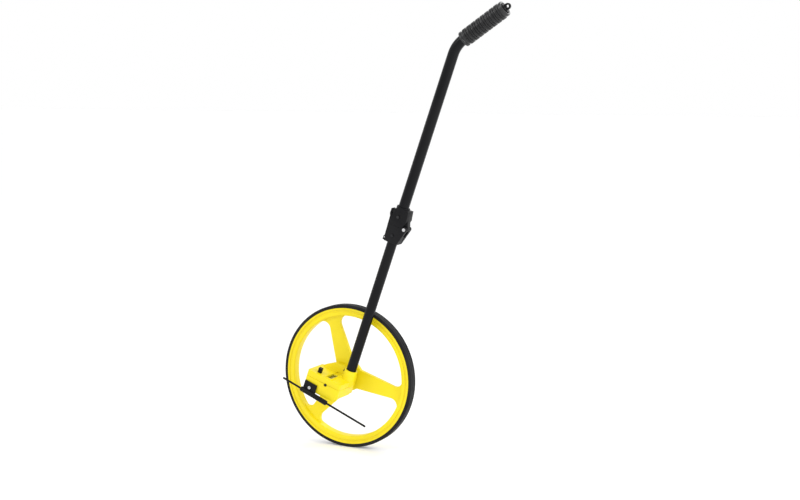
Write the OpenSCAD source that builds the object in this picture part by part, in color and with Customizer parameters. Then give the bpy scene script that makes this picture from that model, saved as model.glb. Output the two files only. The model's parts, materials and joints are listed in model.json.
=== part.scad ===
// Measuring wheel: a wheel of one metre round, a geared counter in a split housing,
// a swinging start and stop pointer, and a folding tubular handle.
// +Z is up, +X leans towards the user, and the origin is where the tyre meets the ground.
// The housing, tubes and wheel are drawn in a leaning frame whose origin is the wheel's centre:
// u runs across the tubes, y along the axle, and t up along the tubes.

/* [Wheel] */
// Distance rolled in one turn of the wheel
roll_length = 1000; // [990:1:1010]
// Width of the tyre along the axle
tyre_w = 22.4; // [21:0.1:24]
// Radius of the rim's lips, where the tyre starts
rim_r = 151.8; // [150:0.1:153]
// Radius of the rim's inner edge, where the windows end
window_r = 134.5; // [132:0.5:137]
// Radius of the disc that joins the spokes
hub_disc_r = 34; // [30:1:38]
// Number of spokes
spoke_count = 3; // [3:1:4]
// Direction of the first spoke, measured in the wheel's plane
spoke_angle = 126; // [90:1:150]
// Half width of a spoke beside the hub
spoke_root = 21; // [18:0.5:24]
// Half width of a spoke beside the rim
spoke_tip = 11.8; // [10:0.1:14]
// Thickness of the spokes along the axle
spoke_t = 9; // [7:0.5:12]
// Radius of the axle
axle_r = 4; // [3.5:0.1:4.5]

/* [Housing] */
// Left end of the housing
box_left = -61; // [-64:0.5:-58]
// Right end of the housing
box_right = 25; // [24:0.5:28]
// Face of the housing that looks away from the wheel
box_near = -83; // [-86:0.5:-82]
// Face of the housing beside the wheel
box_far = -14; // [-14.5:0.1:-13.5]
// Top face of the housing
box_top = 4; // [4:0.1:5]
// Underside of the housing
box_bottom = -38; // [-40:0.5:-37]
// Height of the parting line between the two shells
parting_t = -9; // [-9.2:0.1:-8.8]
// Wall thickness of the shells
wall = 2.4; // [2:0.1:2.6]

/* [Counter] */
// Number of digit drums
drum_count = 5; // [3:1:5]
// Radius of the digit band of a drum
drum_r = 10; // [9.8:0.1:10.1]
// Distance between the same face of two drums
drum_pitch = 6.5; // [6.4:0.1:6.5]
// Travel of the reset button
reset_travel = 3.5; // [2.5:0.1:3.5]

/* [Handle] */
// Lean of the tubes from upright, in degrees
lean_deg = 19.5; // [15:0.5:25]
// Distance of the tubes from the wheel's middle plane
tube_y = -32; // [-33:0.5:-31.5]
// Distance of the tubes' axis from the axle, across the tubes
tube_u = 15.3; // [15:0.1:16]
// Radius of the lower tube
lower_r = 11; // [10.8:0.1:11.2]
// Radius of the upper tube
upper_r = 11.5; // [11.3:0.1:11.8]
// Height of the folding hinge's pin above the axle, along the tubes
pin_t = 369; // [360:1:380]
// Distance of the hinge's pin from the tubes' axis
pin_u = 22; // [21.5:0.1:23]
// Height along the tubes at which the handle starts to bend
bend_t = 750; // [700:5:780]
// Radius of the handle's bend
bend_r = 60; // [50:1:70]
// Angle of the handle's bend
bend_deg = 36.7; // [30:0.1:45]
// Length of the hand grip
grip_len = 110; // [100:1:125]

/* [Pointer] */
// Length of the pointer rod
rod_len = 221; // [200:1:230]
// Radius of the pointer rod
rod_r = 2.2; // [2:0.1:2.5]
// Slope of the rod at rest, in degrees
rod_slope = -3.4; // [-5:0.1:0]

/* [Hidden] */
$fn = 96;
wheel_r = roll_length / (2 * PI);
half_tyre = tyre_w / 2;
rim_y = half_tyre - 0.2;
hub_near = -11.5;
hub_far = 12;
sleeve_r = axle_r + 3;
fit = 0.05;

// Counter gears: two equal gears side by side, so their distance is teeth times module
gear_teeth = 15;
gear_module = 1;
gear_gap = gear_teeth * gear_module;
count_t = -11;
count_u = -sqrt(gear_gap * gear_gap - count_t * count_t);
gear_line = 180 + atan2(-count_t, -count_u);
gear_near = -21.5;
gear_far = -18;
case_near = -25;
case_bottom = -28;
cover_near = -16.8;
shaft_r = 1.5;
thin_pin_r = 1;
pinion_pin_r = 0.8;

// Drums, numbered from the wheel side, which is the right-hand digit for the user
drum_start = -44.6;
drum_w = 6.1;
band_inset = 1.1;
small_module = 0.8;
drum_teeth = 20;
pinion_teeth = 8;
pinion_gap = small_module * (drum_teeth + pinion_teeth) / 2;
pinion_u = count_u;
pinion_t = count_t - pinion_gap;
frame_far = -43;
frame_plate = 1.2;
drum_end = drum_start - (drum_count - 1) * drum_pitch - drum_w;
frame_near = drum_end - 0.5 - frame_plate;

// Reset button and the comb it works
reset_u = -38;
reset_y = -69;
reset_size = 7.8;
reset_top = 15;
well_half = reset_size / 2 + 0.25;
well_floor = -4.5 - reset_travel;
comb_u = -27.5;
comb_t = -13;

// Pointer: its pivot screw and its sleeve
pivot_u = -42;
pivot_t = -31;
holder_near = box_near - 4.2;
sleeve_y = box_near - 6;
rod_drop = -44.4;
sleeve_ends = [-60, 8];

// Folding hinge, measured from the tubes' axis
block_half = 13;
block_low = 331;
ear_inner = 6.6;
knuckle_r = 5.2;
collar_top = 411;
collar_r = 14.6;
latch_low = 337;
latch_u = -17.8;
block_left = -15.2;
screw_t = pin_t + 20.5;

// End of the bend, which is where the grip starts
grip_u = tube_u + bend_r * (1 - cos(bend_deg));
grip_t = bend_t + bend_r * sin(bend_deg);
grip_r = 17.5;
bend_lap = 0.9;
tube_wall_t = 1.2;

yellow = [0.98, 0.86, 0.10];
black = [0.09, 0.09, 0.10];
steel = [0.72, 0.73, 0.75];
white = [0.93, 0.93, 0.90];

// ---- Placing ----

// The leaning frame at the wheel's centre
module leaning() {
    translate([0, 0, wheel_r]) rotate([0, lean_deg, 0]) children();
}

// A flat shape drawn in u and t, made solid between two places along the axle
module slab(y0, y1) {
    translate([0, y1, 0]) rotate([90, 0, 0]) linear_extrude(y1 - y0) children();
}

// A round bar along the axle's direction
module bar(r, y0, y1) {
    translate([0, y1, 0]) rotate([90, 0, 0]) cylinder(r = r, h = y1 - y0);
}

// A round bar with a bore, along the axle's direction
module ring(r, bore, y0, y1) {
    difference() {
        bar(r, y0, y1);
        bar(bore, y0 - 1, y1 + 1);
    }
}

// A profile of radius and height, turned about the axle's direction
module turned() {
    rotate([-90, 0, 0]) rotate_extrude() children();
}

module at(u, t) {
    translate([u, 0, t]) children();
}

// A box given by its lowest and highest corners
module block(low, high) {
    translate(low) cube(high - low);
}

// A rectangle with round corners, given by its lowest and highest corners
module round_rect(low, high, r) {
    size = high - low;
    translate(low + [r, 0]) square([size.x - 2 * r, size.y]);
    translate(low + [0, r]) square([size.x, size.y - 2 * r]);
    for (x = [low.x + r, high.x - r], y = [low.y + r, high.y - r]) translate([x, y]) circle(r);
}

// ---- Gears ----

function involute_turn(base, r) = let (q = sqrt(max(pow(r / base, 2) - 1, 0))) q * 180 / PI - atan(q);

function tooth_half(teeth, size, r) =
    let (pitch = teeth * size / 2, base = pitch * cos(20), play = 9 / teeth)
    90 / teeth - play + involute_turn(base, pitch) - involute_turn(base, r);

function polar(r, a) = [r * cos(a), r * sin(a)];

module gear_shape(teeth, size, turn) {
    pitch = teeth * size / 2;
    tip = pitch + 0.9 * size;
    root = pitch - 1.2 * size;
    steps = [for (k = [0:4]) root + (tip - root) * k / 4];
    points = [for (i = [0:teeth - 1]) each concat(
        [for (k = [0:4]) polar(steps[k], 360 * i / teeth - tooth_half(teeth, size, steps[k]))],
        [for (k = [4:-1:0]) polar(steps[k], 360 * i / teeth + tooth_half(teeth, size, steps[k]))])];
    rotate(turn) polygon(points);
}

// A helical wire between two heights
module coil(r, wire, turns, low, high) {
    translate([0, 0, low + wire])
        linear_extrude(high - low - 2 * wire, twist = -360 * turns, slices = 20 * turns, $fn = 8)
            translate([r, 0]) circle(wire, $fn = 8);
}

// ---- Wheel ----

module tyre() {
    shoulder = 2.4;
    color(black) leaning() turned() difference() {
        union() {
            translate([rim_r, -half_tyre]) square([wheel_r - rim_r - shoulder, tyre_w]);
            translate([rim_r, shoulder - half_tyre]) square([wheel_r - rim_r, tyre_w - 2 * shoulder]);
            for (side = [-1, 1]) translate([wheel_r - shoulder, side * (half_tyre - shoulder)]) circle(shoulder, $fn = 48);
            translate([rim_r - 3.2, -4.5]) square([3.3, 9]);
        }
        // Two shallow rings that grip the ground
        for (side = [-1, 1]) translate([wheel_r, side * 4]) circle(0.5, $fn = 24);
    }
}

// The fillet between a straight spoke edge and the window's outer arc
module spoke_fillet(r) {
    run = window_r - hub_disc_r;
    slope = atan((spoke_root - spoke_tip) / run);
    // The centre lies r off the spoke's edge and r inside the arc
    reach = window_r - r;
    edge = spoke_root * cos(slope) + hub_disc_r * sin(slope) + r;
    turn = asin(edge / reach) - slope;
    centre = polar(reach, turn);
    foot = centre + polar(r, slope * -1 - 90);
    corner = [window_r + 1, spoke_tip - 1];
    difference() {
        polygon([centre, foot, corner, polar(window_r + 1, turn)]);
        translate(centre) circle(r);
    }
}

module spokes() {
    for (k = [0:spoke_count - 1]) rotate(spoke_angle + 360 * k / spoke_count) {
        polygon([[0, -spoke_root - 3], [hub_disc_r, -spoke_root], [window_r + 1, -spoke_tip],
            [window_r + 1, spoke_tip], [hub_disc_r, spoke_root], [0, spoke_root + 3]]);
        for (side = [0, 1]) mirror([0, side]) spoke_fillet(17);
    }
}

module wheel_rim() {
    step_y = rim_y - 2;
    color(yellow) leaning() difference() {
        union() {
            turned() difference() {
                translate([window_r, -rim_y]) square([rim_r - window_r, 2 * rim_y]);
                // A step inside each lip, and the groove that holds the tyre
                for (side = [-1, 1]) translate([window_r + 8.5, side * (step_y + 1) - 1]) square([4.5, 2]);
                for (side = [-1, 1]) translate([window_r - 1, side * (step_y + 1.5) - 1]) square([2.2, 2]);
                translate([rim_r - 3.2, -4.5]) square([4, 9]);
            }
            slab(-spoke_t / 2, spoke_t / 2) {
                spokes();
                circle(hub_disc_r);
            }
            // A rib that stiffens each spoke on the cap side
            for (k = [0:spoke_count - 1]) rotate([0, -spoke_angle - 360 * k / spoke_count, 0])
                block([0, 0, -2.5], [window_r + 2, spoke_t / 2 + 4, 2.5]);
            bar(15, hub_near, hub_far);
        }
        bar(sleeve_r, hub_near - 1, hub_far + 1);
    }
}

module hub_sleeve() {
    color(steel) leaning() ring(sleeve_r, axle_r, hub_near, hub_far);
}

module axle() {
    color(steel) leaning() {
        bar(axle_r, -41, 21);
        bar(sleeve_r + 0.5, hub_near - 0.9, hub_near);
    }
}

module axle_nut() {
    color(steel) leaning() difference() {
        slab(hub_far + 1.2, hub_far + 7.7) circle(7.5, $fn = 6);
        bar(axle_r, hub_far, hub_far + 9);
    }
}

module axle_washer() {
    color(steel) leaning() ring(8.2, axle_r, hub_far, hub_far + 1.2);
}

module hub_cap() {
    color(black) leaning() difference() {
        union() {
            bar(17, hub_far - 3.4, hub_far + 10.5);
            bar(14.5, hub_far + 10, hub_far + 12);
        }
        bar(15, hub_far - 6, hub_far);
        bar(13, hub_far - 1, hub_far + 10);
    }
}

module axle_gear() {
    color(white) leaning() difference() {
        slab(gear_near, gear_far) gear_shape(gear_teeth, gear_module, gear_line);
        bar(axle_r, gear_near - 1, gear_far + 1);
    }
}

module axle_circlip() {
    color(steel) leaning() difference() {
        ring(5.6, axle_r, -39.6, -38.6);
        block([-1, -41, 0], [1, -38, 7]);
    }
}

// ---- Housing ----

// Outline of the tall gear case beside the wheel, from the parting line or a lower foot
module case_outline(inset, foot = parting_t) {
    polygon([[box_left + inset, foot], [box_left + inset, 0], [-52 + inset * 0.6, 8 - inset * 0.6],
        [-31 + inset * 0.3, 22 - inset], [-5, 25 - inset], [18, 24 - inset], [box_right - inset, 12 - inset * 0.5],
        [box_right - inset, foot]]);
}

// The recess in which the end of the counter's shaft shows
module shaft_recess() {
    at(count_u, count_t) bar(4, box_near - 1, box_near + 1.2);
}

// Places of the screws that join the shells
function screw_places() = [[-55, -76], [-55, -31], [18.5, -76], [18.5, -52]];

module housing_top() {
    rail = 8.8;
    color(yellow) leaning() difference() {
        union() {
            translate([0, 0, parting_t]) linear_extrude(box_top - parting_t)
                round_rect([box_left, box_near], [box_right, box_far - 4], 5);
            slab(case_near, cover_near) case_outline(0);
            // Tube socket and the boss of the axle's bushes
            translate([tube_u, tube_y, parting_t]) cylinder(r = 14, h = 27 - parting_t);
            bar(7.8, -43.2, cover_near);
            // Rails beside the counter's window
            for (side = [-1, 1]) block([count_u + side * 7.9 - 0.9, -79, 0], [count_u + side * 7.9 + 0.9, case_near, 6.2]);
            for (y = [-79, -43.8]) block([count_u - rail, y, 0], [count_u + rail, y + 1.6, 6.2]);
        }
        // Hollow of the counter's room and of the gear case
        difference() {
            block([box_left + wall, box_near + wall, parting_t - 1], [box_right - wall, case_near - 1.6, box_top - wall]);
            bar(7.8, -43.2, case_near - 2);
            translate([tube_u, tube_y, parting_t - 2]) cylinder(r = 14, h = 40);
            block([reset_u - well_half - 1.5, reset_y - well_half - 1.5, well_floor],
                [reset_u + well_half + 1.5, reset_y + well_half + 1.5, box_top]);
            for (p = screw_places()) translate([p.x, p.y, parting_t - 1]) cylinder(r = 3.4, h = 15);
        }
        difference() {
            slab(case_near + wall, cover_near + 1) difference() {
                case_outline(2.2);
                for (p = [[-48, -3], [18, 14]]) translate(p) circle(3);
            }
            translate([tube_u, tube_y, 9.6]) cylinder(r = 13.4, h = 30);
        }
        block([box_left + wall, case_near + wall, parting_t - 6], [box_right - wall, cover_near + 1, parting_t + 1]);
        // Bores of the axle and its bush, and the room of its end
        bar(axle_r + 1.6, -38, case_near + 3);
        bar(6.4, -42, -38);
        // Tube bore, and the screw that holds the tube
        translate([tube_u, tube_y, 12]) cylinder(r = lower_r, h = 30);
        translate([tube_u, tube_y, 19.5]) rotate([0, 90, 0]) translate([0, 0, -20]) cylinder(r = 1.7, h = 20);
        // Window, and the seat of its lens
        block([count_u - 5.4, drum_end - 0.4, 0], [count_u + 5.4, drum_start + 0.2, 9]);
        block([count_u - 7, -77.4, 2.6], [count_u + 7, -43.8, 9]);
        // Well and stem hole of the reset button
        block([reset_u - well_half, reset_y - well_half, well_floor + 1.5], [reset_u + well_half, reset_y + well_half, 9]);
        translate([reset_u, reset_y, well_floor - 1]) cylinder(r = 2 + fit, h = 9);
        for (p = screw_places()) translate([p.x, p.y, parting_t - 1]) cylinder(r = 1.45, h = 9);
        for (p = [[-48, -3], [18, 14]]) at(p.x, p.y) bar(1.2, case_near + wall, cover_near + 1);
        // A groove along the parting line
        parting_groove();
        shaft_recess();
    }
}

// The shallow groove that marks the parting line on all sides
module parting_groove() {
    translate([0, 0, parting_t - 0.45]) linear_extrude(0.9) difference() {
        round_rect([box_left - 2, box_near - 2], [box_right + 2, box_far + 3], 6);
        round_rect([box_left + 0.7, box_near + 0.7], [box_right - 0.7, box_far + 5], 5);
    }
}

module housing_bottom() {
    color(yellow) leaning() difference() {
        union() {
            intersection() {
                translate([0, 0, box_bottom]) linear_extrude(parting_t - box_bottom)
                    round_rect([box_left, box_near], [box_right, case_near + 5], 5);
                slab(box_near - 1, case_near + 6) polygon([[box_left, parting_t], [box_left, -31], [-54, box_bottom],
                    [16, box_bottom], [box_right, -30], [box_right, parting_t]]);
            }
            block([box_left, case_near, case_bottom], [box_right, cover_near, parting_t]);
        }
        difference() {
            intersection() {
                block([box_left + wall, box_near + wall, box_bottom + wall], [box_right - wall, case_near - 1.6, 0]);
                slab(box_near, case_near) polygon([[-70, 0], [-70, -30], [-53, box_bottom + wall],
                    [15, box_bottom + wall], [box_right, -27.5], [box_right, 0]]);
            }
            for (p = screw_places()) translate([p.x, p.y, box_bottom]) cylinder(r = 3.4, h = 40);
            // Ledges that carry the counter's frame
            for (u = [-29, 0]) block([u, -79, box_bottom], [u + 3, -42, -30]);
        }
        difference() {
            block([box_left + wall, case_near + wall, case_bottom + wall], [box_right - wall, cover_near + 1, 0]);
            for (p = [[-55, -20], [19, -20]]) at(p.x, p.y) bar(3, case_near, cover_near);
        }
        for (p = screw_places()) translate([p.x, p.y, box_bottom - 1]) {
            cylinder(r = 1.6, h = 40);
            cylinder(r = 3.1, h = 7.5);
        }
        for (p = [[-55, -20], [19, -20]]) at(p.x, p.y) bar(1.2, case_near + wall, cover_near + 1);
        // Bearings of the counter's shaft, hole of the pointer's screw, and the axle bush's boss
        at(count_u, count_t) bar(shaft_r + fit, box_near - 1, case_near + 5);
        at(pivot_u, pivot_t) bar(2, box_near - 1, box_near + 5);
        parting_groove();
        shaft_recess();
    }
}

// The plate that closes the gear case and carries the inner bush
module gear_case_cover() {
    color(yellow) leaning() difference() {
        slab(cover_near, box_far) case_outline(0, case_bottom);
        bar(axle_r + 1.6, -20, -10);
        for (p = cover_screw_places()) at(p.x, p.y) {
            bar(1.3, -20, -10);
            bar(2.6, box_far - 1, box_far + 1);
        }
        at(count_u, count_t) bar(shaft_r + fit, cover_near - 1, cover_near + 1.5);
    }
}

function cover_screw_places() = [[-48, -3], [18, 14], [-55, -20], [19, -20]];

module cover_screws() {
    color(steel) leaning() for (p = cover_screw_places()) at(p.x, p.y) {
        bar(1.2, cover_near - 3.5, box_far - 1);
        bar(2.4, box_far - 1, box_far);
    }
}

module inner_bush() {
    color(steel) leaning() difference() {
        union() {
            bar(axle_r + 1.6, cover_near, box_far);
            bar(8, box_far, box_far + 1);
        }
        bar(axle_r + fit, -20, -10);
    }
}

module outer_bush() {
    color(steel) leaning() ring(axle_r + 1.6, axle_r + fit, -38, case_near - 0.5);
}

module housing_screws() {
    color(steel) leaning() for (p = screw_places()) translate([p.x, p.y, box_bottom]) difference() {
        union() {
            translate([0, 0, 4.4]) cylinder(r = 2.8, h = 2.1);
            translate([0, 0, 6.5]) cylinder(r = 1.45, h = 29);
        }
        // Cross slots for the driver
        for (a = [0, 90]) rotate(a) translate([-1.7, -0.3, 4]) cube([3.4, 0.6, 1.4]);
    }
}

// ---- Counter ----

module window_lens() {
    color([0.85, 0.92, 0.95, 0.4]) leaning() block([count_u - 6.9, -77.3, 2.6], [count_u + 6.9, -43.9, 3.8]);
}

module counter_frame() {
    color([0.55, 0.56, 0.58]) leaning() difference() {
        union() {
            for (y = [frame_near, frame_far - frame_plate]) slab(y, y + frame_plate)
                polygon([[-31.5, -30], [1, -30], [1, -13], [-8, -2], [-16, -2], [-25, -8], [-31.5, -10]]);
            block([-31.5, frame_near, -30], [1, frame_far, -28.8]);
        }
        bar(8.1, -60, -20);
        at(count_u, count_t) bar(shaft_r + fit, box_near, -40);
        at(pinion_u, pinion_t) bar(pinion_pin_r, box_near, -40);
        at(comb_u, comb_t) bar(thin_pin_r, box_near, -40);
    }
}

module counter_shaft() {
    color(steel) leaning() at(count_u, count_t) bar(shaft_r, box_near + 0.2, cover_near + 1.2);
}

module shaft_clip() {
    color(steel) leaning() at(count_u, count_t) ring(3.2, shaft_r, box_near + 0.4, box_near + 1);
}

module counter_gear() {
    color(white) leaning() at(count_u, count_t) difference() {
        slab(gear_near, gear_far) gear_shape(gear_teeth, gear_module, gear_line + 180 + 180 / gear_teeth);
        bar(shaft_r, gear_near - 1, gear_far + 1);
    }
}

module pinion_shaft() {
    color(steel) leaning() at(pinion_u, pinion_t) bar(pinion_pin_r, frame_near, frame_far);
}

// One digit drum: a band for the digits, a full gear on its wheel side, and a carrying lug
module digit_drum(number) {
    top = drum_start - (number - 1) * drum_pitch;
    low = top - drum_w;
    lug_turn = number == 1 ? 315 : 135;
    bore = number == 1 ? shaft_r : shaft_r + fit;
    color(white) leaning() at(count_u, count_t) difference() {
        union() {
            bar(drum_r, low + band_inset, top - band_inset);
            slab(top - band_inset, top) gear_shape(drum_teeth, small_module, 270);
            bar(6.2, low, top);
            // The lug that carries the next drum once in a turn
            if (number < drum_count) slab(low, low + band_inset) rotate(lug_turn)
                polygon([[5, -1.2], [7, -0.8], [7, 0.8], [5, 1.2]]);
        }
        bar(bore, low - 1, top + 1);
    }
}

module transfer_pinion(number) {
    top = drum_start - (number - 1) * drum_pitch - drum_w + band_inset - 0.2;
    color(white) leaning() at(pinion_u, pinion_t) difference() {
        slab(top - 2.2, top) gear_shape(pinion_teeth, small_module, 90 + 180 / pinion_teeth);
        bar(pinion_pin_r + fit, top - 4, top + 1);
    }
}

// ---- Reset ----

module reset_button() {
    half = reset_size / 2;
    color(black) leaning() translate([reset_u, reset_y, 0]) {
        difference() {
            block([-half, -half, -0.5], [half, half, reset_top]);
            // A hollow top for the fingertip
            translate([0, 0, reset_top + 19.4]) sphere(r = 20);
        }
        translate([0, 0, -11]) cylinder(r = 2, h = 11);
    }
}

module reset_spring() {
    color(steel) leaning() translate([reset_u, reset_y, 0]) coil(3.4, 0.35, 3, well_floor + 1.5, -0.5);
}

module reset_comb() {
    finger_gap = drum_pitch;
    color(white) leaning() difference() {
        union() {
            at(comb_u, comb_t) bar(2.2, drum_end, drum_start);
            block([comb_u - 1, drum_end, -24], [comb_u + 1, drum_start, comb_t]);
            for (k = [0:drum_count - 1]) block([comb_u, drum_start - k * finger_gap - 4.6, -24],
                [comb_u + 5, drum_start - k * finger_gap - 1.6, -22]);
            block([reset_u - 2, reset_y - 3, comb_t - 0.8], [comb_u, reset_y + 3, comb_t + 1.2]);
        }
        at(comb_u, comb_t) bar(thin_pin_r + fit, box_near, -40);
    }
}

module reset_comb_pin() {
    color(steel) leaning() at(comb_u, comb_t) bar(thin_pin_r, frame_near, frame_far);
}

// ---- Pointer ----

// The line of the rod and its sleeve
module on_rod_line() {
    translate([0, sleeve_y, rod_drop]) rotate([0, -rod_slope, 0]) rotate([0, 90, 0]) children();
}

module pointer_holder() {
    color(black) leaning() difference() {
        union() {
            slab(holder_near, box_near - 0.5)
                polygon([[-57.5, -19], [-27, -20.5], [-26.5, -43], [-57.5, -41.5]]);
            on_rod_line() translate([0, 0, sleeve_ends[0]]) cylinder(r = 5.4, h = sleeve_ends[1] - sleeve_ends[0]);
        }
        on_rod_line() translate([0, 0, -90]) cylinder(r = rod_r, h = 150);
        at(pivot_u, pivot_t) bar(2 + fit, box_near - 9, box_near + 1);
    }
}

module pointer_rod() {
    color(black) leaning() on_rod_line() translate([0, 0, 1.5 - rod_len / 2]) {
        cylinder(r = rod_r, h = rod_len - 1);
        translate([0, 0, rod_len - 1]) cylinder(r1 = rod_r, r2 = rod_r - 0.8, h = 1);
    }
}

module pointer_screw() {
    color(steel) leaning() at(pivot_u, pivot_t) difference() {
        union() {
            bar(2, holder_near - 0.5, box_near + 7);
            bar(3.4, holder_near - 1.8, holder_near - 0.1);
        }
        for (a = [0, 90]) rotate([0, a, 0]) block([-2, holder_near - 2, -0.35], [2, holder_near - 0.8, 0.35]);
    }
}

module pointer_washer() {
    color(steel) leaning() at(pivot_u, pivot_t) ring(5, 2, box_near - 0.4, box_near);
}

module pointer_nut() {
    color(steel) leaning() at(pivot_u, pivot_t) difference() {
        slab(box_near + wall, box_near + wall + 3.2) circle(3.9, $fn = 6);
        bar(2, box_near, box_near + 9);
    }
}

// ---- Handle ----

module lower_tube() {
    color(black) leaning() translate([tube_u, tube_y, 0]) difference() {
        translate([0, 0, 12]) cylinder(r = lower_r, h = 350);
        translate([0, 0, 11]) cylinder(r = lower_r - tube_wall_t, h = 360);
        translate([0, 0, 19.5]) rotate([0, 90, 0]) cylinder(r = 1.7, h = 30, center = true);
        translate([0, -tube_y, block_low + 16]) bar(1.6, tube_y - 15, tube_y + 15);
    }
}

module tube_screw() {
    color(steel) leaning() translate([tube_u, tube_y, 19.5]) rotate([0, 90, 0]) {
        translate([0, 0, -14]) cylinder(r = 1.7, h = 24.9);
        translate([0, 0, -16.2]) cylinder(r = 3, h = 2.2);
    }
}

// Everything of the hinge is placed from the tubes' axis
module at_tube() {
    translate([tube_u, 0, 0]) children();
}

module lower_hinge_half() {
    color(black) leaning() at_tube() difference() {
        union() {
            slab(tube_y - block_half, tube_y + block_half)
                polygon([[block_left, block_low], [15.5, block_low], [pin_u - 1.5, pin_t - 18], [pin_u - 6, pin_t], [block_left, pin_t]]);
            for (side = [-1, 1]) slab(side < 0 ? tube_y - block_half : tube_y + ear_inner,
                side < 0 ? tube_y - ear_inner : tube_y + block_half) {
                translate([pin_u, pin_t]) circle(knuckle_r);
                polygon([[15.5, block_low], [pin_u + knuckle_r * cos(15), pin_t - knuckle_r * sin(15)],
                    [pin_u, pin_t], [pin_u - 6, pin_t], [5, block_low + 4]]);
            }
            // Ears of the latch lever
            for (y = [tube_y - 10, tube_y + 7]) block([latch_u - 2.6, y, block_low], [block_left + 1, y + 3, latch_low + 3]);
        }
        // Room for the middle knuckle as it swings
        translate([pin_u, 0, pin_t]) bar(knuckle_r + 1.2, tube_y - ear_inner - 0.01, tube_y + ear_inner + 0.01);
        block([pin_u - 4.6, tube_y - ear_inner - 0.01, pin_t - 18], [pin_u + 20, tube_y + ear_inner + 0.01, pin_t + 1]);
        translate([pin_u, 0, pin_t]) bar(2.5, -60, 0);
        translate([0, tube_y, block_low - 1]) cylinder(r = lower_r, h = 32);
        translate([0, tube_y, block_low + 30]) cylinder(r = lower_r - tube_wall_t, h = 20);
        at(0, block_low + 16) bar(1.6, tube_y - 20, tube_y + 20);
        at(latch_u, latch_low) bar(1.2, -60, 0);
    }
}

module lower_hinge_screws() {
    color(steel) leaning() at_tube() at(0, block_low + 16) {
        bar(1.6, tube_y - block_half, tube_y + block_half - 1);
        bar(3, tube_y - block_half - 1.8, tube_y - block_half);
    }
}

module hinge_pin() {
    color(steel) leaning() at_tube() at(pin_u, pin_t) {
        bar(2.5, tube_y - block_half - 0.2, tube_y + block_half + 0.2);
        bar(3.6, tube_y - block_half - 1.6, tube_y - block_half);
        bar(3.6, tube_y + block_half, tube_y + block_half + 1.6);
    }
}

module latch_pin() {
    color(steel) leaning() at_tube() at(latch_u, latch_low) bar(1.2, tube_y - 10, tube_y + 10);
}

module latch_spring() {
    color(steel) leaning() at_tube() translate([block_left - 2.5, tube_y, latch_low + 11]) rotate([0, 90, 0])
        coil(2.2, 0.3, 2, 0, 2.2);
}

// The lever, its pivot at the foot, its nose above the shoulder's edge and its thumb tab on top
module latch_lever() {
    inner = block_left - 0.5;
    color(black) leaning() at_tube() difference() {
        slab(tube_y - 6.6, tube_y + 6.6) {
            translate([latch_u, latch_low]) circle(2.3);
            polygon([[latch_u - 2.3, latch_low], [inner, latch_low + 3], [inner, 387], [inner - 3.2, 390],
                [inner - 4.6, 400], [inner - 6, 401.6], [inner - 8, 400.6], [inner - 8.2, 389], [inner - 6, 384]]);
        }
        at(latch_u, latch_low) bar(1.2 + fit, -60, 0);
        // Seat of the spring
        translate([inner - 2, tube_y, latch_low + 11]) rotate([0, 90, 0]) cylinder(r = 3, h = 4);
    }
}

module upper_hinge_half() {
    color(black) leaning() at_tube() difference() {
        union() {
            slab(tube_y - block_half, tube_y + block_half)
                polygon([[block_left, pin_t + 0.3], [pin_u - 6, pin_t + 0.3], [pin_u - 0.6, pin_t + 19],
                    [18.6, 408], [-12.6, 405], [-12.6, 390], [block_left, 386.5]]);
            slab(tube_y - ear_inner + 0.3, tube_y + ear_inner - 0.3) {
                translate([pin_u, pin_t]) circle(knuckle_r);
                polygon([[pin_u - 6, pin_t + 0.3], [pin_u + knuckle_r * cos(15), pin_t + knuckle_r * sin(15)],
                    [pin_u - 0.6, pin_t + 19], [5, 390]]);
            }
            translate([0, tube_y, 395]) cylinder(r = collar_r, h = collar_top - 395);
        }
        translate([pin_u, 0, pin_t]) bar(2.5 + fit, -60, 0);
        translate([0, tube_y, pin_t + 7]) cylinder(r = upper_r, h = 60);
        at(0, screw_t) bar(1.6, tube_y - 20, tube_y + 20);
    }
}

module upper_hinge_screws() {
    color(steel) leaning() at_tube() at(0, screw_t) {
        bar(1.6, tube_y - block_half, tube_y + block_half - 1);
        bar(3, tube_y - block_half - 1.8, tube_y - block_half);
    }
}

// The wall of the upper tube, as a flat ring; bending draws it a little thinner
module tube_wall(thinner = 0) {
    difference() {
        circle(upper_r - thinner);
        circle(upper_r - tube_wall_t + thinner);
    }
}

// Straight, bent, and straight again inside the grip; the bend runs a little into both
module upper_tube() {
    foot = pin_t + 7;
    color(black) leaning() translate([tube_u, tube_y, 0]) {
        difference() {
            translate([0, 0, foot]) linear_extrude(bend_t - foot) tube_wall();
            translate([0, -tube_y, screw_t]) bar(1.6, tube_y - 15, tube_y + 15);
        }
        translate([bend_r, 0, bend_t]) rotate([90, 0, 0]) rotate([0, 0, 180 - bend_deg - bend_lap])
            rotate_extrude(angle = bend_deg + 2 * bend_lap) translate([bend_r, 0]) tube_wall(0.03);
        translate([grip_u - tube_u, 0, grip_t]) rotate([0, bend_deg, 0])
            linear_extrude(grip_len - 8) tube_wall();
    }
}

module on_grip() {
    translate([grip_u, tube_y, grip_t]) rotate([0, bend_deg, 0]) children();
}

module grip() {
    ribs = 8;
    rib_gap = (grip_len - 16) / ribs;
    color(black) leaning() on_grip() difference() {
        union() {
            cylinder(r = grip_r - 2.2, h = grip_len);
            cylinder(r = grip_r - 0.6, h = 5);
            translate([0, 0, grip_len - 6]) cylinder(r = grip_r - 1, h = 6);
            for (k = [0:ribs - 1]) translate([0, 0, 8 + rib_gap * (k + 0.5)]) rotate_extrude()
                translate([grip_r - 5.5, 0]) circle(5.5, $fn = 32);
        }
        translate([0, 0, -10]) cylinder(r = upper_r, h = grip_len + 2);
        translate([0, 0, grip_len - 10]) cylinder(r = 10.5, h = 20);
    }
}

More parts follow.
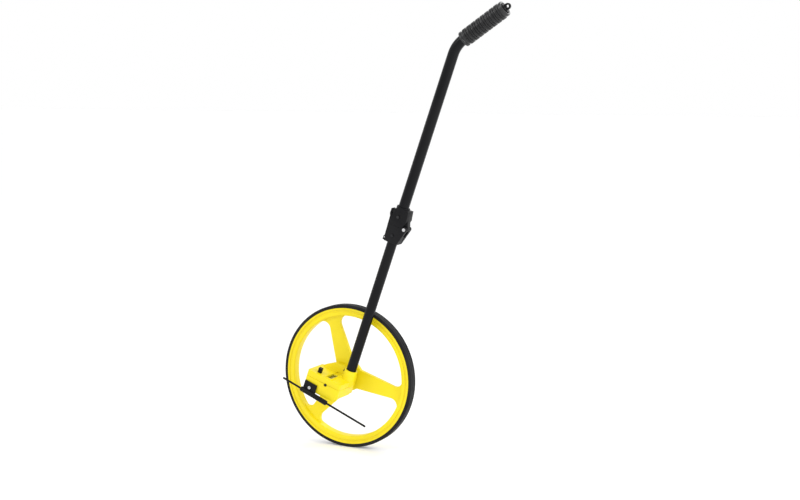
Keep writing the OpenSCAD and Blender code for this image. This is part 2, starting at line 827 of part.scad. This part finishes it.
module end_plug() {
    color(black) leaning() on_grip() difference() {
        union() {
            translate([0, 0, grip_len - 8]) cylinder(r = 10.5, h = 8);
            translate([0, 0, grip_len]) cylinder(r = 12, h = 1.6);
            rotate([90, 0, 0]) translate([0, 0, -2.5]) linear_extrude(5) {
                translate([0, grip_len + 6.5]) circle(6.5);
                translate([-6.5, grip_len]) square([13, 6.5]);
            }
        }
        rotate([90, 0, 0]) translate([0, grip_len + 6.5, -10]) cylinder(r = 3, h = 20);
    }
}

tyre();
wheel_rim();
hub_sleeve();
axle();
axle_nut();
axle_washer();
hub_cap();
axle_gear();
axle_circlip();
housing_top();
housing_bottom();
gear_case_cover();
inner_bush();
outer_bush();
housing_screws();
cover_screws();
window_lens();
counter_frame();
pinion_shaft();
counter_shaft();
counter_gear();
shaft_clip();
digit_drum(1);  // digit_drum_1
digit_drum(2);  // digit_drum_2
digit_drum(3);  // digit_drum_3
digit_drum(4);  // digit_drum_4
digit_drum(5);  // digit_drum_5
transfer_pinion(1);  // transfer_pinion_1
transfer_pinion(2);  // transfer_pinion_2
transfer_pinion(3);  // transfer_pinion_3
transfer_pinion(4);  // transfer_pinion_4
reset_button();
reset_spring();
reset_comb();
reset_comb_pin();
pointer_holder();
pointer_rod();
pointer_screw();
pointer_washer();
pointer_nut();
lower_tube();
tube_screw();
lower_hinge_half();
lower_hinge_screws();
hinge_pin();
latch_pin();
latch_spring();
latch_lever();
upper_hinge_half();
upper_hinge_screws();
upper_tube();
grip();
end_plug();
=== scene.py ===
# %% [markdown]
# # A measuring wheel, dressed in Blender
# A measuring wheel is rolled along the ground, and a small counter adds up the metres. The sizes
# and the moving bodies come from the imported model, which is loaded first. Everything after that
# adds what the bare solids lack: rounded edges, ribs, digits, and finishes that look real.

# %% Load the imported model
import json
from math import cos, pi, radians, sin

import bmesh
import bpy
from mathutils import Matrix, Vector
from mathutils.bvhtree import BVHTree


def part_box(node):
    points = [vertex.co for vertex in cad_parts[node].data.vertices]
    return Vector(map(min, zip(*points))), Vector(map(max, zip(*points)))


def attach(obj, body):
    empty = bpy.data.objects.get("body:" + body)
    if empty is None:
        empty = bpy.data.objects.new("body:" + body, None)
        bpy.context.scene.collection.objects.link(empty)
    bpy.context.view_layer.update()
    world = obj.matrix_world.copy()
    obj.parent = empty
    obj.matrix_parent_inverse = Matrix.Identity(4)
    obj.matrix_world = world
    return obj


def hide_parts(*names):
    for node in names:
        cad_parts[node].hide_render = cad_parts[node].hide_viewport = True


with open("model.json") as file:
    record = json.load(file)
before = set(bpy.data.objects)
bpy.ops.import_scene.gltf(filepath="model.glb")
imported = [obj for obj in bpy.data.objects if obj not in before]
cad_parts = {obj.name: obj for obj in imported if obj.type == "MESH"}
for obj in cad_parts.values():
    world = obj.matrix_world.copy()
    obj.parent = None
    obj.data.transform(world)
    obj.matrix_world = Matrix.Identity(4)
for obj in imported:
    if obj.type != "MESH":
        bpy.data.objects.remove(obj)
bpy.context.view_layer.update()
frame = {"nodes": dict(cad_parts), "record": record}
MM = 0.001

# %% [markdown]
# ## Finding the way about
# The housing and both tubes lean back by 19.5 degrees, so they are easiest to draw upright, in a
# frame of their own, and to lean over as the last step. The middle of the axle is the origin of
# that frame. The hub's sleeve is centred on the axle, so its box gives the height.

# %% The leaning frame
LEAN = radians(19.5)
low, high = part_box("hub_sleeve")
axle_height = (low.z + high.z) / 2
leaning = Matrix.Translation((0, 0, axle_height)) @ Matrix.Rotation(LEAN, 4, "Y")
print("axle height in mm:", round(axle_height / MM, 2))

# %% [markdown]
# ## Camera
# The wheel is seen from a little above its axle and turned by about 27 degrees, from about three
# metres away. A long lens at that distance keeps the wheel's ellipse and the tubes' taper natural.
# The small shift only slides the picture, and depth of field stays off so that all parts are sharp.

# %% Place the camera
LENS_MM, SENSOR_MM, SHIFT_UP = 61.0, 36, -0.03125
CAMERA_PLACE = (1.43417, -2.57889, 0.80396)
lens_data = bpy.data.cameras.new("camera")
lens_data.sensor_width = SENSOR_MM
lens_data.lens = LENS_MM
lens_data.shift_y = SHIFT_UP
lens_data.clip_end = 60
camera = bpy.data.objects.new("camera", lens_data)
right, up = Vector((0.89188, 0.45228, 0)), Vector((-0.04735, 0.09338, 0.99450))
back = right.cross(up)
facing = Matrix((right, up, back)).transposed().to_4x4()
camera.matrix_world = Matrix.Translation(CAMERA_PLACE) @ facing
bpy.context.scene.collection.objects.link(camera)
bpy.context.scene.camera = camera
print("camera looks along", [round(-v, 2) for v in back])

# %% [markdown]
# ## Light and floor
# Black tubes need something broad to reflect, or they turn into flat silhouettes. Large soft lamps
# on both sides draw a long gleam down each tube, and a pale sky fills in the shadows. The floor is
# plain and nearly white, so the yellow stays clean.

# %% Sky, lamps and floor
scene = bpy.context.scene
scene.view_settings.view_transform = "Standard"
sky = bpy.data.worlds.new("sky")
scene.world = sky
sky.use_nodes = True
sky.node_tree.nodes["Background"].inputs["Color"].default_value = (1, 1, 1, 1)
sky.node_tree.nodes["Background"].inputs["Strength"].default_value = 1.0


def soft_lamp(name, place, target, size, power):
    lamp = bpy.data.lights.new(name, "AREA")
    lamp.shape = "RECTANGLE"
    lamp.size, lamp.size_y = size
    lamp.energy = power
    holder = bpy.data.objects.new(name, lamp)
    aim = (Vector(target) - Vector(place)).to_track_quat("-Z", "Y")
    holder.matrix_world = Matrix.Translation(place) @ aim.to_matrix().to_4x4()
    scene.collection.objects.link(holder)


soft_lamp("key lamp", (-1.6, -2.2, 2.6), (0, 0, 0.3), (1.6, 1.6), 26)
soft_lamp("side lamp", (2.6, -0.6, 1.5), (0.1, 0, 0.4), (0.7, 2.0), 30)
soft_lamp("back lamp", (0.6, 2.6, 2.2), (0, 0, 0.4), (1.8, 1.2), 14)

floor_mesh = bpy.data.meshes.new("floor")
shape = bmesh.new()
bmesh.ops.create_grid(shape, x_segments=1, y_segments=1, size=30)
shape.to_mesh(floor_mesh)
shape.free()
floor = bpy.data.objects.new("floor", floor_mesh)
scene.collection.objects.link(floor)

# %% [markdown]
# ## Finishes
# No real surface is one flat colour. Each finish below starts from the same three layers: a slow
# drift of the colour, as in moulded plastic or old paint, a fine grain that roughens the light, and
# a few scuffs where the roughness changes. All patterns are measured in metres on the object's own
# coordinates, so their grain has its true size on every piece.

# %% A helper that wires up one finish
def link_noise(tree, scale, detail=3.0, stretch=(1, 1, 1)):
    """Noise on the object's own coordinates. Stretch makes streaks."""
    place = tree.nodes.new("ShaderNodeTexCoord")
    mapping = tree.nodes.new("ShaderNodeMapping")
    mapping.inputs["Scale"].default_value = stretch
    noise = tree.nodes.new("ShaderNodeTexNoise")
    noise.inputs["Scale"].default_value = scale
    noise.inputs["Detail"].default_value = detail
    tree.links.new(place.outputs["Object"], mapping.inputs["Vector"])
    tree.links.new(mapping.outputs["Vector"], noise.inputs["Vector"])
    return noise.outputs["Fac"]


def link_range(tree, value, low, high, to_low, to_high):
    """Spreads a value between two limits onto two others."""
    spread = tree.nodes.new("ShaderNodeMapRange")
    limits = {"From Min": low, "From Max": high, "To Min": to_low, "To Max": to_high}
    for name, number in limits.items():
        spread.inputs[name].default_value = number
    tree.links.new(value, spread.inputs["Value"])
    return spread.outputs["Result"]


def link_mix(tree, factor, first, second):
    """Blends two colours. Either may be a colour or another node's output."""
    mix = tree.nodes.new("ShaderNodeMix")
    mix.data_type = "RGBA"
    tree.links.new(factor, mix.inputs[0])
    for socket, colour in ((mix.inputs[6], first), (mix.inputs[7], second)):
        if isinstance(colour, tuple):
            socket.default_value = (*colour, 1)
        else:
            tree.links.new(colour, socket)
    return mix.outputs[2]


def make_finish(name, colour, drift, rough=(0.3, 0.45), grain=900, depth=0.02, scuff=0.12,
                scuff_stretch=(1, 1, 6), metal=0.0, sheen=0.0, shine=0.5):
    """A material of drifting colour, patchy gloss, scuffs and fine grain (depth in mm)."""
    finish = bpy.data.materials.new(name)
    finish.use_nodes = True
    tree = finish.node_tree
    shader = tree.nodes["Principled BSDF"]
    slow = link_range(tree, link_noise(tree, 14, 4), 0.35, 0.65, 0, 1)
    tree.links.new(link_mix(tree, slow, colour, drift), shader.inputs["Base Color"])
    streaks = link_range(tree, link_noise(tree, 160, 6, scuff_stretch), 0.52, 0.72, 0, scuff)
    patchy = link_range(tree, link_noise(tree, 45, 5), 0.3, 0.7, rough[0], rough[1])
    total = tree.nodes.new("ShaderNodeMath")
    total.operation = "ADD"
    tree.links.new(streaks, total.inputs[0])
    tree.links.new(patchy, total.inputs[1])
    tree.links.new(total.outputs[0], shader.inputs["Roughness"])
    bump = tree.nodes.new("ShaderNodeBump")
    bump.inputs["Strength"].default_value = 0.6
    bump.inputs["Distance"].default_value = depth * MM
    tree.links.new(link_noise(tree, grain, 2), bump.inputs["Height"])
    tree.links.new(bump.outputs["Normal"], shader.inputs["Normal"])
    shader.inputs["Metallic"].default_value = metal
    shader.inputs["Specular IOR Level"].default_value = shine
    shader.inputs["Sheen Weight"].default_value = sheen
    return finish


# %% The finishes of this wheel
yellow = make_finish(
    "yellow_moulding", (0.84, 0.690, 0.005), (0.79, 0.635, 0.003), rough=(0.32, 0.44),
    grain=700, depth=0.05, scuff=0.15, shine=0.35)
rubber = make_finish(
    "tyre_rubber", (0.010, 0.010, 0.011), (0.018, 0.018, 0.019), rough=(0.42, 0.55),
    grain=500, depth=0.08, scuff=0.2, scuff_stretch=(1, 9, 1), sheen=0.02, shine=0.09)
grip_rubber = make_finish(
    "grip_rubber", (0.007, 0.007, 0.008), (0.014, 0.014, 0.015), rough=(0.26, 0.38),
    grain=900, depth=0.06, scuff=0.1, shine=0.45)
hinge_nylon = make_finish(
    "hinge_nylon", (0.007, 0.007, 0.008), (0.012, 0.012, 0.013), rough=(0.36, 0.52),
    grain=1300, depth=0.06, scuff=0.1, shine=0.1)
fitting_black = make_finish(
    "fitting_black", (0.006, 0.006, 0.007), (0.010, 0.010, 0.011), rough=(0.30, 0.44),
    grain=1300, depth=0.04, scuff=0.12, shine=0.1)
tube_paint = make_finish(
    "tube_paint", (0.002, 0.002, 0.003), (0.004, 0.004, 0.005), rough=(0.15, 0.22),
    grain=1900, depth=0.03, scuff=0.12, scuff_stretch=(1, 1, 0.08), shine=0.16)
print("plastic, rubber and paint:", len(bpy.data.materials))

# %% Metals, white drums and ink
steel = make_finish(
    "bright_steel", (0.62, 0.62, 0.63), (0.52, 0.52, 0.53), rough=(0.22, 0.34),
    grain=800, depth=0.02, scuff=0.15, scuff_stretch=(1, 6, 1), metal=1)
dark_steel = make_finish(
    "blackened_steel", (0.05, 0.05, 0.052), (0.03, 0.03, 0.032), rough=(0.35, 0.5),
    grain=800, depth=0.02, scuff=0.15, scuff_stretch=(1, 6, 1), metal=1)
bronze = make_finish(
    "bush_bronze", (0.60, 0.40, 0.18), (0.48, 0.31, 0.14), rough=(0.35, 0.5),
    grain=1200, depth=0.05, scuff=0.1, metal=1)
white = make_finish(
    "white_acetal", (0.82, 0.82, 0.78), (0.76, 0.76, 0.72), rough=(0.35, 0.45),
    grain=900, depth=0.02, scuff=0.1)
digit_black = make_finish(
    "digit_black", (0.010, 0.010, 0.010), (0.016, 0.016, 0.016), rough=(0.45, 0.55),
    grain=1500, depth=0.01, scuff=0.05)
digit_red = make_finish(
    "digit_red", (0.60, 0.02, 0.012), (0.54, 0.016, 0.010), rough=(0.45, 0.55),
    grain=1500, depth=0.01, scuff=0.05)
floor_white = make_finish(
    "floor_white", (0.86, 0.86, 0.86), (0.84, 0.84, 0.84), rough=(0.6, 0.7),
    grain=60, depth=0.05, scuff=0.05)
print("with the metals and inks:", len(bpy.data.materials))

# %% [markdown]
# The floor gets a faint glow of its own. It lifts the shade under the wheel, so that only the soft
# contact shadow is left and the yellow stays clean.

# %% Give the floor its finish
floor_shader = floor_white.node_tree.nodes["Principled BSDF"]
floor_shader.inputs["Emission Color"].default_value = (1, 1, 1, 1)
floor_shader.inputs["Emission Strength"].default_value = 0.14
floor_mesh.materials.append(floor_white)
print("floor finish:", floor_white.name)

# %% [markdown]
# The lens over the digits is a clear plastic plate. Transmission lets the drums show through it,
# and a faint unevenness of its gloss makes it read as plastic and not as window glass.

# %% Clear lens
clear = make_finish(
    "clear_lens", (0.92, 0.95, 0.96), (0.90, 0.94, 0.95), rough=(0.03, 0.08),
    grain=300, depth=0.004, scuff=0.04)
clear_shader = clear.node_tree.nodes["Principled BSDF"]
clear_shader.inputs["Transmission Weight"].default_value = 1.0
clear_shader.inputs["IOR"].default_value = 1.49
print("lens index:", clear_shader.inputs["IOR"].default_value)

# %% [markdown]
# ## Dressing the plain pieces
# Pins, screws, springs and gears already have their right shape, so they only need a finish. Each
# is named in the list of its finish.

# %% Give every node its finish
NODE_FINISH = {
    yellow: "wheel_rim housing_top housing_bottom gear_case_cover",
    rubber: "tyre",
    grip_rubber: "grip",
    hinge_nylon: "lower_hinge_half upper_hinge_half latch_lever end_plug",
    fitting_black: "reset_button pointer_holder pointer_rod hub_cap",
    tube_paint: "lower_tube upper_tube",
    steel: "hub_sleeve axle axle_nut axle_washer axle_circlip housing_screws cover_screws "
           "counter_frame pinion_shaft reset_spring reset_comb_pin pointer_screw pointer_washer "
           "pointer_nut hinge_pin latch_pin latch_spring",
    dark_steel: "tube_screw lower_hinge_screws upper_hinge_screws shaft_clip counter_shaft",
    bronze: "inner_bush outer_bush",
    white: "axle_gear counter_gear transfer_pinion_1 transfer_pinion_2 transfer_pinion_3 "
           "transfer_pinion_4 reset_comb digit_drum_1 digit_drum_2 digit_drum_3 digit_drum_4 "
           "digit_drum_5",
    clear: "window_lens",
}
SMOOTH_BELOW = radians(32)
finish_of = {}
for finish, names in NODE_FINISH.items():
    for name in names.split():
        node = frame["nodes"][name]
        node.data.materials.clear()
        node.data.materials.append(finish)
        finish_of[name] = finish
left = set(frame["nodes"]) - set(finish_of)
print("nodes with a finish:", len(finish_of), "without:", sorted(left))

# %% [markdown]
# ## Rounding the moulded edges
# A mould never makes a knife edge, and the eye finds a moulded part by the thin bright line that
# runs along its rounded corners. The housing, the rim and the hinge have the right faces already.
# So a copy of each is joined up from its loose triangles, its flat faces are merged and cut again
# into few, well-shaped triangles, and every sharp edge is bevelled by a few tenths of a millimetre.
# A bevel distorts a large face with many corners, and leaves a triangle whole. Where it has no room
# it can throw a corner far out, so any point that ends up off the old surface is drawn back onto
# it. The copy then stands for the plain solid.

# %% A helper that finishes a new piece
def finish_piece(shape, name, body, finish, stands_for=(), place=None):
    """Turns a bmesh into a piece of the model that moves with a body."""
    if place is not None:
        bmesh.ops.transform(shape, matrix=place, verts=shape.verts)
    mesh = bpy.data.meshes.new(name)
    shape.to_mesh(mesh)
    shape.free()
    mesh.materials.append(finish)
    mesh.polygons.foreach_set("use_smooth", [True] * len(mesh.polygons))
    mesh.set_sharp_from_angle(angle=SMOOTH_BELOW)
    piece = bpy.data.objects.new(name, mesh)
    scene.collection.objects.link(piece)
    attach(piece, body)
    if stands_for:
        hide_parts(*stands_for)
    print(name, "has", sum(len(p.vertices) - 2 for p in mesh.polygons), "triangles")
    return piece


# %% A helper that rounds a copy of a node
BODY_OF = {n: b for b, names in frame["record"]["behaviour"]["bodies"].items() for n in names}
SHARP = radians(28)
SAME_POINT, SAME_PLANE = 0.002 * MM, radians(0.5)
ROUND_STEPS = 3


def round_edges(node, radius):
    """Bevels every sharp edge of a copy of a node, which then stands for it."""
    shape = bmesh.new()
    shape.from_mesh(frame["nodes"][node].data)
    bmesh.ops.remove_doubles(shape, verts=shape.verts, dist=SAME_POINT)
    bmesh.ops.dissolve_limit(shape, angle_limit=SAME_PLANE, verts=shape.verts, edges=shape.edges)
    bmesh.ops.triangulate(shape, faces=shape.faces)
    sharp = [e for e in shape.edges if e.is_manifold and e.calc_face_angle(0) > SHARP]
    bmesh.ops.bevel(shape, geom=sharp, offset=radius * MM, offset_type="OFFSET", affect="EDGES",
                    segments=ROUND_STEPS, profile=0.5, clamp_overlap=False, material=-1)
    plain = bmesh.new()
    plain.from_mesh(frame["nodes"][node].data)
    surface = BVHTree.FromBMesh(plain)
    plain.free()
    for vert in shape.verts:
        nearest, _, _, away = surface.find_nearest(vert.co)
        if away > radius * MM / 2:
            vert.co = nearest
    return finish_piece(shape, node + "_rounded", BODY_OF[node], finish_of[node], [node])


# %% Round the edges of the moulded pieces
for node, radius, slot in (
        ("wheel_rim", 0.6, "yellow_plastic"), ("housing_top", 0.3, "yellow_plastic"),
        ("housing_bottom", 0.3, "yellow_plastic"), ("gear_case_cover", 0.3, "yellow_plastic"),
        ("lower_hinge_half", 0.4, "hinge_plastic"), ("upper_hinge_half", 0.4, "hinge_plastic"),
        ("latch_lever", 0.4, "hinge_plastic"), ("pointer_holder", 0.4, "black_plastic"),
        ("reset_button", 0.4, "black_plastic"), ("end_plug", 0.4, "black_plastic"),
        ("hub_cap", 0.6, "black_plastic")):
    round_edges(node, radius)

# %% [markdown]
# ## The tyre
# The tyre is one ring of solid rubber, so its cut profile is drawn once and spun round the axle.
# The spin leaves sharp shoulders, and bevelling their edge loops rounds them as the mould does.
# Two shallow grooves run round the tread, and a tongue on the inside sits in the rim's groove.

# %% A helper that spins a ring
def spin_ring(corners, steps, axis="Y"):
    """A closed profile of (radius, place along the axis) in mm, spun a full turn."""
    shape = bmesh.new()
    along = {"Y": lambda r, y: (r * MM, y * MM, 0), "Z": lambda r, z: (r * MM, 0, z * MM)}[axis]
    ring = [shape.verts.new(along(*corner)) for corner in corners]
    edges = [shape.edges.new((a, b)) for a, b in zip(ring, ring[1:] + ring[:1])]
    bmesh.ops.spin(shape, geom=ring + edges, cent=(0, 0, 0), dvec=(0, 0, 0), angle=2 * pi,
                   axis={"Y": (0, 1, 0), "Z": (0, 0, 1)}[axis], steps=steps, use_merge=True,
                   use_duplicate=False)
    bmesh.ops.remove_doubles(shape, verts=shape.verts, dist=0.001 * MM)
    bmesh.ops.recalc_face_normals(shape, faces=shape.faces)
    return shape


# %% Spin the tyre
low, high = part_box("tyre")
tyre_radius = (high.x - low.x) / 2 / MM
half_width = (high.y - low.y) / 2 / MM
bead, tongue = 151.8, 148.6
tongue_side = 4.5
groove_floor = tyre_radius - 0.7
tyre = spin_ring([
    (bead, -half_width), (tyre_radius, -half_width), (tyre_radius, -5.2), (groove_floor, -4.8),
    (groove_floor, -3.2), (tyre_radius, -2.8), (tyre_radius, 2.8), (groove_floor, 3.2),
    (groove_floor, 4.8), (tyre_radius, 5.2), (tyre_radius, half_width), (bead, half_width),
    (bead, tongue_side), (tongue, tongue_side), (tongue, -tongue_side), (bead, -tongue_side)], 180)
print("tyre radius in mm:", round(tyre_radius, 2), "half its width:", round(half_width, 2))

# %% Round the tyre's shoulders and lips
NEAR = 0.05 * MM


def side_loops(shape, radius):
    """The two edge loops that run round the tyre's sides at one radius."""
    def fits(vert):
        across = Vector((vert.co.x, vert.co.z)).length
        on_side = abs(abs(vert.co.y) - half_width * MM) < NEAR
        return on_side and abs(across - radius * MM) < NEAR
    return [e for e in shape.edges if fits(e.verts[0]) and fits(e.verts[1])]


for radius, rounding, steps in ((tyre_radius, 2.6, 5), (bead, 0.7, 3)):
    bmesh.ops.bevel(tyre, geom=side_loops(tyre, radius), offset=rounding * MM,
                    offset_type="OFFSET", affect="EDGES", segments=steps, profile=0.5,
                    clamp_overlap=True, material=-1)
finish_piece(tyre, "tyre_moulded", "wheel", rubber, ["tyre"], leaning)

# %% [markdown]
# ## The hand grip
# The grip is a soft rubber sleeve with eight ribs, and each rib carries two rows of raised pads.
# The sleeve is spun from a profile whose ribs have flat crowns. Spinning it in steps leaves one
# small face per pad on each crown, so insetting those faces one by one and raising them makes all
# the pads.

# %% Where the grip sits
# The upper tube's axis in the leaning frame, where its bend starts, and the bend's radius.
TUBE_ACROSS, TUBE_ASIDE, BEND_START, BEND_RADIUS = 15.3, -32, 750, 60
BEND = radians(36.7)
bend_out, bend_up = BEND_RADIUS * (1 - cos(BEND)), BEND_RADIUS * sin(BEND)
grip_foot = Vector((TUBE_ACROSS + bend_out, TUBE_ASIDE, BEND_START + bend_up)) * MM
grip_place = leaning @ Matrix.Translation(grip_foot) @ Matrix.Rotation(BEND, 4, "Y")
print("grip starts at", [round(v, 3) for v in grip_place.translation])

# %% Spin the grip
grip_length, ribs = 110, 8
valley, crown, pad = 15.3, 16.75, 17.45
end_band = 8
profile = [(11.5, 0), (16.3, 0), (16.9, 0.8), (16.9, 4.2), (16.3, 5), (valley, 5.4)]
pitch = (grip_length - 2 * end_band) / ribs
for k in range(ribs):
    middle = end_band + pitch * (k + 0.5)
    profile += [(valley, middle - 5), (crown, middle - 4.2), (crown, middle - 0.35),
                (crown - 0.5, middle), (crown, middle + 0.35), (crown, middle + 4.2),
                (valley, middle + 5)]
profile += [(valley, 103.6), (16.5, 104.2), (16.5, 109.2), (15.9, grip_length),
            (10.5, grip_length), (10.5, 102), (11.5, 102)]
grip = spin_ring(profile, 48, "Z")
print("ribs on the grip:", ribs)


# %% Raise its pads
def on_crown(face):
    radii = [Vector((v.co.x, v.co.y)).length for v in face.verts]
    return min(radii) > (crown - 0.02) * MM and 6 * MM < face.calc_center_median().z < 103 * MM


pads = [f for f in grip.faces if on_crown(f)]
bmesh.ops.inset_individual(grip, faces=pads, thickness=0.42 * MM, depth=(pad - crown) * MM,
                           use_even_offset=True)
finish_piece(grip, "grip_padded", "handle", grip_rubber, ["grip"], grip_place)
print("pads on the grip:", len(pads))

# %% [markdown]
# ## The counter's digits
# Each drum carries the digits 0 to 9, printed round its band so that the user, looking down at the
# window, reads them upright. A digit starts as flat text turned into a mesh. It is cut into thin
# strips, so that it can bend, and each point is then wrapped round the drum. The last drum counts
# the smallest unit, so its digits are red.

# %% A helper that draws one flat digit
BAND = 10.0
DIGIT_SIZE, INK = 5.6, 0.05
STRIP, STRIPS = 0.4, range(-6, 7)


def flat_digit(text):
    """One digit as a thin mesh, cut across into strips that can bend."""
    curve = bpy.data.curves.new("digit " + text, "FONT")
    curve.body, curve.size, curve.extrude = text, DIGIT_SIZE * MM, INK * MM
    curve.align_x, curve.align_y = "CENTER", "CENTER"
    holder = bpy.data.objects.new("digit " + text, curve)
    scene.collection.objects.link(holder)
    view = bpy.context.evaluated_depsgraph_get()
    mesh = bpy.data.meshes.new_from_object(holder.evaluated_get(view))
    shape = bmesh.new()
    shape.from_mesh(mesh)
    bpy.data.objects.remove(holder)
    bpy.data.curves.remove(curve)
    bpy.data.meshes.remove(mesh)
    bmesh.ops.remove_doubles(shape, verts=shape.verts, dist=0.001 * MM)
    for strip in STRIPS:
        bmesh.ops.bisect_plane(shape, geom=shape.verts[:] + shape.edges[:] + shape.faces[:],
                               plane_co=(0, strip * STRIP * MM, 0), plane_no=(0, 1, 0))
    return shape


# %% Wrap the digits round the drums
low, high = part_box("counter_shaft")
shaft_middle = leaning.inverted() @ ((low + high) / 2)
for number, body in enumerate(("counter_drive", "drum_2", "drum_3", "drum_4", "drum_5"), 1):
    low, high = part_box("digit_drum_%d" % number)
    digits = bmesh.new()
    for value in range(10):
        one = flat_digit(str(value))
        for vert in one.verts:
            turn = pi / 2 + 2 * pi * value / 10 + vert.co.y / (BAND * MM)
            reach = BAND * MM + vert.co.z
            vert.co = Vector((shaft_middle.x + reach * cos(turn),
                              (low.y + high.y) / 2 + vert.co.x,
                              shaft_middle.z + reach * sin(turn)))
        part = bpy.data.meshes.new("one digit")
        one.to_mesh(part)
        one.free()
        digits.from_mesh(part)
        bpy.data.meshes.remove(part)
    ink = digit_red if number == 1 else digit_black
    finish_piece(digits, "digits_%d" % number, body, ink, (), leaning)
